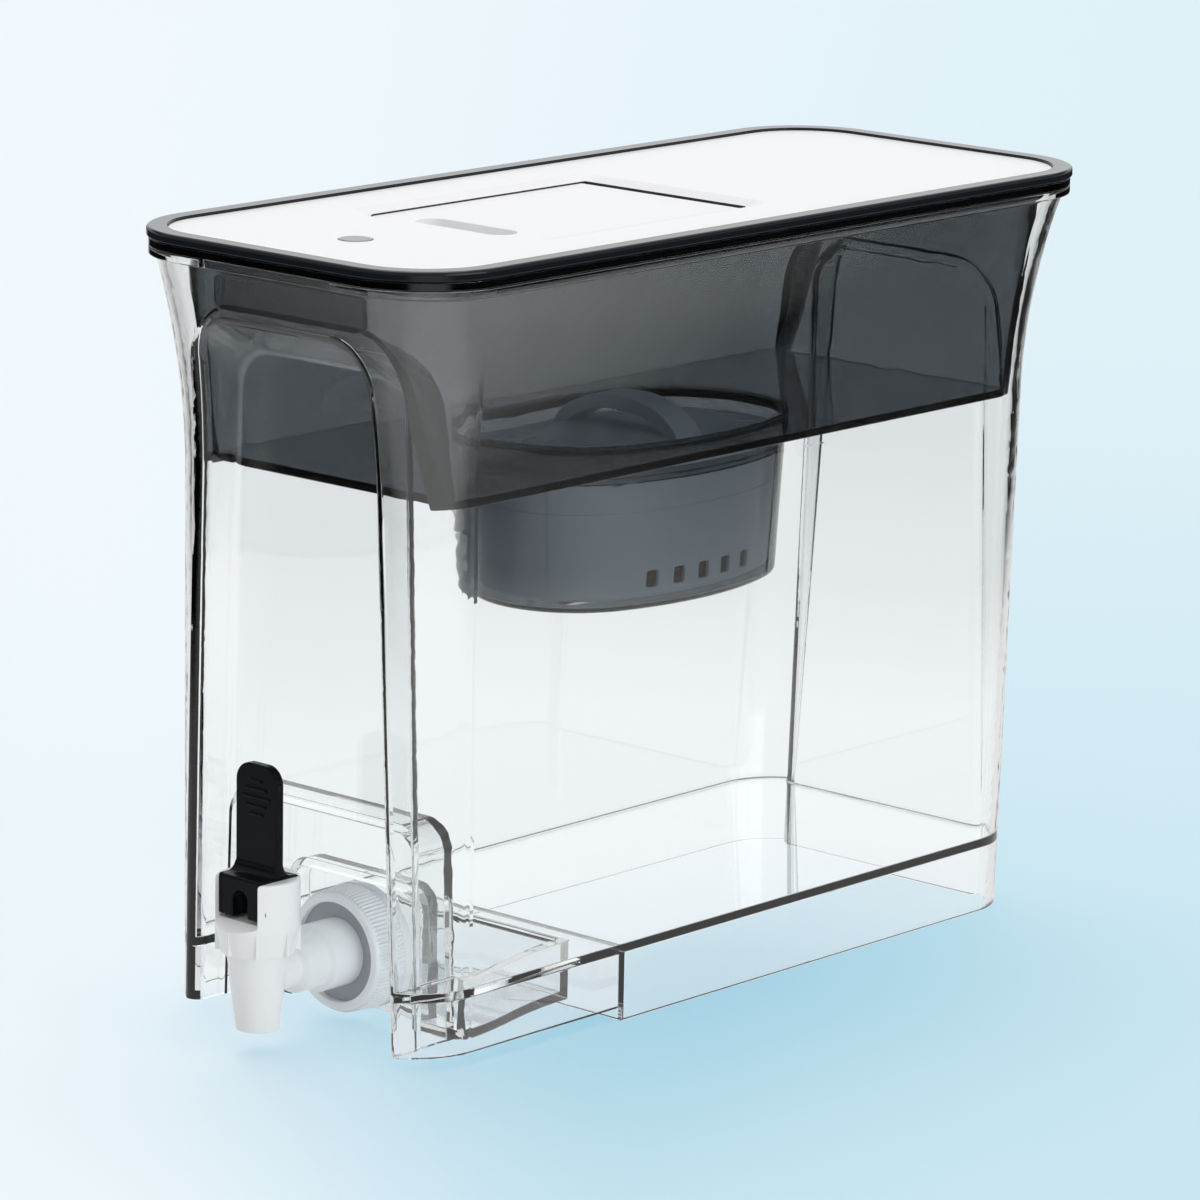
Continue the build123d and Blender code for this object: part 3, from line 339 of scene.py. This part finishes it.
def eased(node, piece, width, material, crease=30):
    """A copy of a CAD solid with its edges eased as a mould leaves them, which stands for it.

    Where it folds the mesh over, the edges near the fold stay crisp in the next try. All faces
    but those of the eased edges keep the exact normals of the solid.
    """
    source = nodes[node].data
    surface = BVHTree.FromPolygons(
        [v.co for v in source.vertices], [p.vertices for p in source.polygons]
    )
    folds = []
    for attempt in range(fold_tries):
        form = bmesh.new()
        form.from_mesh(source)
        bmesh.ops.remove_doubles(form, verts=form.verts, dist=merge_distance)
        crowded = KDTree(len(folds))
        for n, point in enumerate(folds):
            crowded.insert(point, n)
        crowded.balance()
        sharp = []
        for edge in form.edges:
            if edge.calc_face_angle(0) > radians(crease):
                start, end = (v.co for v in edge.verts)
                count = max(2, int((end - start).length / width))
                steps = (crowded.find(start.lerp(end, k / count))[2] for k in range(count + 1))
                if not folds or min(steps) > 2 * width * attempt:
                    sharp.append(edge)
        made = bmesh.ops.bevel(
            form,
            geom=sharp,
            offset=width,
            affect="EDGES",
            segments=2,
            profile=0.5,
            clamp_overlap=False,
            material=-1,
        )["faces"]
        form.normal_update()
        found = []
        for face in form.faces:
            middle = face.calc_center_median()
            normal, distance = surface.find_nearest(middle)[1::2]
            turned_over = normal.dot(face.normal) < least_cosine and face.calc_area() > tiny_area
            if turned_over or distance > furthest_face * width:
                found.append(middle)
        for vertex in form.verts:
            if surface.find_nearest(vertex.co)[3] > furthest_corner * width:
                found.append(vertex.co.copy())
        folds += found
        if not found or attempt == fold_tries - 1:
            break
        form.free()
    form.faces.index_update()
    rounded = {face.index for face in made}
    obj = stand_in(form, piece, material, node)
    mesh = obj.data
    normals = [Vector()] * len(mesh.loops)
    of_vertex = {}
    for polygon in mesh.polygons:
        if polygon.index in rounded:
            continue
        for loop in polygon.loop_indices:
            corner = mesh.vertices[mesh.loops[loop].vertex_index].co
            hit = surface.find_nearest(corner.lerp(polygon.center, share_into_face))[2]
            spots = source.polygons[hit].loop_indices
            corners = [source.vertices[source.loops[k].vertex_index].co for k in spots]
            shares = poly_3d_calc(corners, corner)
            normal = Vector()
            for share, k in zip(shares, spots):
                normal += share * source.corner_normals[k].vector
            normals[loop] = normal.normalized()
            of_vertex[mesh.loops[loop].vertex_index] = normals[loop]
    for index in rounded:
        for loop in mesh.polygons[index].loop_indices:
            vertex = mesh.loops[loop].vertex_index
            normals[loop] = of_vertex.get(vertex, mesh.vertices[vertex].normal)
    mesh.normals_split_custom_set(normals)
    return obj


def stand_in(form, piece, material, node):
    """A finished piece that shows in place of a CAD node, and moves and is painted as it is."""
    obj = finished(form, piece, material, nodes[node]["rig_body"])
    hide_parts(node)
    return obj


def finished(form, piece, material, body):
    """A smooth-shaded piece made of form, which rides on body."""
    mesh = bpy.data.meshes.new(piece)
    form.to_mesh(mesh)
    form.free()
    mesh.materials.append(material)
    mesh.polygons.foreach_set("use_smooth", [True] * len(mesh.polygons))
    mesh.set_sharp_from_angle(angle=shading_crease)
    obj = bpy.data.objects.new(piece, mesh)
    bpy.context.collection.objects.link(obj)
    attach(obj, body)
    return obj


clear_copolyester = see_through(
    "clear_copolyester", (0.5, 0.62, 0.68, 1), 3, linear("#fafcfd")
)
eased("tank", "clear_tank", 0.0005, clear_copolyester)

# ---------------------------------------------------------------- Hopper
# The hopper is the same resin with a smoke tint. One wall is mid grey against the light, and
# its edges, which are seen along their depth, are black.

smoke_copolyester = see_through(
    "smoke_copolyester", (0.0, 0.04, 0.08, 1), 450, linear("#f4f6f7")
)
eased("hopper", "smoke_hopper", 0.0004, smoke_copolyester)

# ---------------------------------------------------------------- Filter
# The filter's shell and cap are moulded in white polypropylene, a little waxy, and round the
# cap runs a soft seal.


def moulded(name, colour, roughness, grain, depth, shine=0.5):
    """An opaque moulded plastic whose mould left a fine grain, so wide and so deep in metres."""
    material = bpy.data.materials.new(name)
    material.use_nodes = True
    tree = material.node_tree
    shader = tree.nodes["Principled BSDF"]
    shader.inputs["IOR"].default_value = 1.5
    shader.inputs["Specular IOR Level"].default_value = shine
    place = add(tree, "ShaderNodeTexCoord", {}, {})
    speck = add(
        tree,
        "ShaderNodeTexNoise",
        {"Scale": 1 / grain, "Detail": 2.0},
        {"Vector": place.outputs["Object"]},
    )
    relief = add(
        tree,
        "ShaderNodeBump",
        {"Strength": 1.0, "Distance": depth},
        {"Height": speck.outputs["Fac"]},
    )
    # Patches some 40 mm across that the mould left glossier
    patch = add(
        tree, "ShaderNodeTexNoise", {"Scale": 25.0}, {"Vector": place.outputs["Object"]}
    )
    gloss = add(
        tree,
        "ShaderNodeMapRange",
        {"To Min": roughness * 0.8, "To Max": roughness * 1.2},
        {"Value": patch.outputs["Fac"]},
    )
    paler = [min(1.0, 1.04 * c) for c in linear(colour)]
    drift = add(
        tree,
        "ShaderNodeMix",
        {"data_type": "RGBA", 6: linear(colour), 7: paler},
        {0: patch.outputs["Fac"]},
    )
    tree.links.new(drift.outputs[2], shader.inputs["Base Color"])
    tree.links.new(gloss.outputs[0], shader.inputs["Roughness"])
    tree.links.new(relief.outputs[0], shader.inputs["Normal"])
    return material


def dress(node, material):
    """The finish of a CAD solid whose shape already is the finished piece's."""
    slots_of_node = nodes[node].data.materials
    slots_of_node.clear()
    slots_of_node.append(material)


def granules(name, low, high, grain):
    """A bed of loose grains, each of its own shade between low and high, grain metres wide."""
    material = bpy.data.materials.new(name)
    material.use_nodes = True
    tree = material.node_tree
    shader = tree.nodes["Principled BSDF"]
    place = add(tree, "ShaderNodeTexCoord", {}, {})
    cells = add(
        tree, "ShaderNodeTexVoronoi", {"Scale": 1 / grain}, {"Vector": place.outputs["Object"]}
    )
    shade = add(
        tree,
        "ShaderNodeMix",
        {"data_type": "RGBA", 6: linear(low), 7: linear(high)},
        {0: cells.outputs["Color"]},
    )
    relief = add(
        tree,
        "ShaderNodeBump",
        {"Strength": 1.0, "Distance": grain / 2, "invert": True},
        {"Height": cells.outputs["Distance"]},
    )
    shader.inputs["Roughness"].default_value = 0.8
    tree.links.new(shade.outputs[2], shader.inputs["Base Color"])
    tree.links.new(relief.outputs[0], shader.inputs["Normal"])
    return material


white_polypropylene = moulded("white_polypropylene", "#e4e5e7", 0.42, 0.0006, 0.00001)
for node, piece in (("filter_shell", "shell_of_filter"), ("filter_cap", "cap_of_filter")):
    eased(node, piece, 0.0004, white_polypropylene)
dress("filter_screen", white_polypropylene)
dress("filter_media", granules("carbon_and_resin_bed", "#0d0d0e", "#8a6a3a", 0.0009))
silicone = moulded("grey_silicone", "#8e9194", 0.6, 0.0004, 0.000006)
dress("filter_seal", silicone)

# ---------------------------------------------------------------- Lid
# A near-black gloss frame is moulded round a white panel with a fine satin grain, and the fill
# door is of the same white.

black_rim = moulded("black_gloss_styrene", "#15181c", 0.12, 0.0008, 0.000004, shine=0.3)
eased("lid_frame", "rim_of_lid", 0.0003, black_rim)
white_abs = moulded("white_satin_abs", "#f2f2f4", 0.32, 0.0005, 0.00001)
eased("lid_panel", "panel_of_lid", 0.0003, white_abs)
eased("fill_door", "door_of_lid", 0.0003, white_abs)


def metal(name, colour, roughness, streak):
    """Bare metal with fine lines along its X and height, as drawing leaves on a wire."""
    material = bpy.data.materials.new(name)
    material.use_nodes = True
    tree = material.node_tree
    shader = tree.nodes["Principled BSDF"]
    shader.inputs["Metallic"].default_value = 1
    shader.inputs["Base Color"].default_value = linear(colour)
    place = add(tree, "ShaderNodeTexCoord", {}, {})
    along = add(
        tree,
        "ShaderNodeMapping",
        {"Scale": (40, 1 / streak, 40)},
        {"Vector": place.outputs["Object"]},
    )
    lines = add(tree, "ShaderNodeTexNoise", {"Scale": 1.0}, {"Vector": along.outputs[0]})
    gloss = add(
        tree,
        "ShaderNodeMapRange",
        {"To Min": roughness * 0.6, "To Max": roughness * 1.6},
        {"Value": lines.outputs["Fac"]},
    )
    relief = add(
        tree,
        "ShaderNodeBump",
        {"Strength": 1.0, "Distance": streak / 40},
        {"Height": lines.outputs["Fac"]},
    )
    tree.links.new(gloss.outputs[0], shader.inputs["Roughness"])
    tree.links.new(relief.outputs[0], shader.inputs["Normal"])
    return material


stainless = metal("drawn_stainless_steel", "#b9bbbe", 0.28, 0.0002)
dress("door_hinge_pin", stainless)

# Painted shade: a black lip on the panel's side closes the gap round the door and draws the
# shade in it. It stands up along the left side and the hinge, and the door's edges pass it
# without touching.

door_low, door_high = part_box("fill_door")
lip_clearance = 0.00008
lip_clearance_back = 0.0003
lip_width = 0.0004
lip_width_back = 0.00028
lip_rise = 0.00045
lip_sunk = -0.0002
lip_foot = -0.00125
lip_step = 0.001
door_corner = 0.0025
lip_corner = door_corner + lip_clearance
lip_back = door_high[1] + lip_clearance_back
corner_steps = 8
lip_form = bmesh.new()
lip_rows = []
for out in (0.0, 1.0):
    half = door_high[0] + lip_clearance
    front = door_low[1] - lip_clearance + lip_corner
    side_x = half + out * lip_width
    back = lip_back + out * lip_width_back
    plan = [(-side_x, back, lip_rise)]
    for turn in range(2 * corner_steps + 2):
        step, right_side = turn % (corner_steps + 1), turn > corner_steps
        angle = radians(90) * step / corner_steps + radians(270 if right_side else 180)
        middle = (half - lip_corner) if right_side else (lip_corner - half)
        radius = lip_corner + out * lip_width
        rise = lip_rise + (lip_sunk - lip_rise) * min(1, turn / corner_steps)
        plan.append((middle + radius * cos(angle), front + radius * sin(angle), rise))
    plan += [(side_x, lip_back - lip_step, lip_sunk), (side_x, back, lip_rise)]
    lip_rows.append([lip_form.verts.new((x, y, door_high[2] + lip_foot)) for x, y, _ in plan])
    lip_rows.append([lip_form.verts.new((x, y, door_high[2] + rise)) for x, y, rise in plan])
inner_low, inner_high, outer_low, outer_high = lip_rows
for a, b in (
    (inner_low, inner_high),
    (inner_high, outer_high),
    (outer_high, outer_low),
    (outer_low, inner_low),
):
    for n in range(len(a)):
        m = (n + 1) % len(a)
        lip_form.faces.new((a[n], a[m], b[m], b[n]))
bmesh.ops.recalc_face_normals(lip_form, faces=lip_form.faces)
# Painted shade: the lip's black stands for the shade in the gap round the door
black_painted_gap_shade = moulded("black_painted_gap_shade", "#17181a", 0.55, 0.0004, 0.000006)
finished(lip_form, "lip_round_door", black_painted_gap_shade, "lid")

# Filter-change light: a grey lens that is pressed to reset it, over its board and coin cell.

dress("indicator_button", moulded("grey_lens", "#8c8f92", 0.3, 0.0005, 0.000004))
dress("indicator_housing", white_abs)
dress("indicator_board", granules("green_board", "#0c3d20", "#1c6b3a", 0.0007))
dress("coin_cell", metal("nickel_plating", "#c9cacd", 0.18, 0.0003))

# ---------------------------------------------------------------- Tap
# The tap's body, bonnet and nut are glossy white polypropylene, and the lever is black acetal.

tap_plastic = moulded("white_gloss_polypropylene", "#f6f6f6", 0.22, 0.0007, 0.000006)
for node, piece in (("tap_body", "spout_and_shank"), ("tap_bonnet", "bonnet_of_tap")):
    eased(node, piece, 0.0003, tap_plastic)
black_acetal = moulded("black_acetal", "#0b0d11", 0.24, 0.0006, 0.00001, shine=0.1)
eased("tap_lever", "lever_of_tap", 0.0005, black_acetal)
for node, material in (
    ("neck_gasket", silicone),
    ("bonnet_seal", silicone),
    ("seat_cup", silicone),
    ("valve_stem", tap_plastic),
    ("tap_spring", stainless),
):
    dress(node, material)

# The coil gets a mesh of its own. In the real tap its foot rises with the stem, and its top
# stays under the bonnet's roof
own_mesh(nodes["tap_spring"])

# The nut that holds the tap to the tank: a smooth rounded ring in front, a smooth rim behind,
# and fine grip ribs all round between them.

nut_low, nut_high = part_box("cap_nut")
nut_axis_z = (nut_low[2] + nut_high[2]) / 2
nut_rim = (nut_high[2] - nut_low[2]) / 2
rib_count = 90
rib_height = 0.0007
rib_shape = (0.0, 1.0, 1.0, 0.0)
nut_profile = (
    # Distance behind the front, distance in from the rim, share of a rib's height
    (0.00045, 0.00475, 0),
    (0.0, 0.0043, 0),
    (0.0, 0.0026, 0),
    (0.00015, 0.0021, 0),
    (0.00055, 0.0017, 0),
    (0.0012, 0.00145, 0),
    (0.0017, 0.00145, 0),
    (0.0022, 0.00142, 1),
    (0.0112, 0.0009, 1),
    (0.0117, 0.0009, 0),
    (0.0121, 0.0001, 0),
    (0.0125, 0.0, 0),
    (0.0151, 0.0, 0),
    (0.0155, 0.0004, 0),
    (0.0155, 0.0028, 0),
    (0.0028, 0.0028, 0),
    (0.0028, 0.00475, 0),
)


def turned(profile):
    """A closed profile swept in a ring about the nut's axis, ribbed where its points say so."""
    form = bmesh.new()
    columns = []
    for n in range(rib_count * len(rib_shape)):
        angle = radians(360) * n / (rib_count * len(rib_shape))
        raised = rib_height * rib_shape[n % len(rib_shape)]
        column = []
        for behind, inset, share in profile:
            radius = nut_rim - inset + share * raised
            place = (radius * cos(angle), nut_low[1] + behind, nut_axis_z + radius * sin(angle))
            column.append(form.verts.new(place))
        columns.append(column)
    for n, column in enumerate(columns):
        following = columns[(n + 1) % len(columns)]
        for k in range(len(column)):
            m = (k + 1) % len(column)
            form.faces.new((column[k], column[m], following[m], following[k]))
    bmesh.ops.recalc_face_normals(form, faces=form.faces)
    return form


nut = stand_in(turned(nut_profile), "nut_of_tap", tap_plastic, "cap_nut")
nut.modifiers.new("even_normals", "WEIGHTED_NORMAL").keep_sharp = True

# A grey rubber washer fills the ring between the nut and the shank

washer_hole = 0.01195
washer_inset = 0.0048
washer_front = 0.00235
washer_back = 0.00278
washer_profile = (
    (washer_front, washer_inset, 0),
    (washer_front, nut_rim - washer_hole, 0),
    (washer_back, nut_rim - washer_hole, 0),
    (washer_back, washer_inset, 0),
)
washer_grey = moulded("grey_washer_rubber", "#a4a8ac", 0.5, 0.0004, 0.000006)
finished(turned(washer_profile), "washer_in_nut", washer_grey, "tank")

# ---------------------------------------------------------------- View transform

bpy.context.scene.view_settings.view_transform = "Standard"
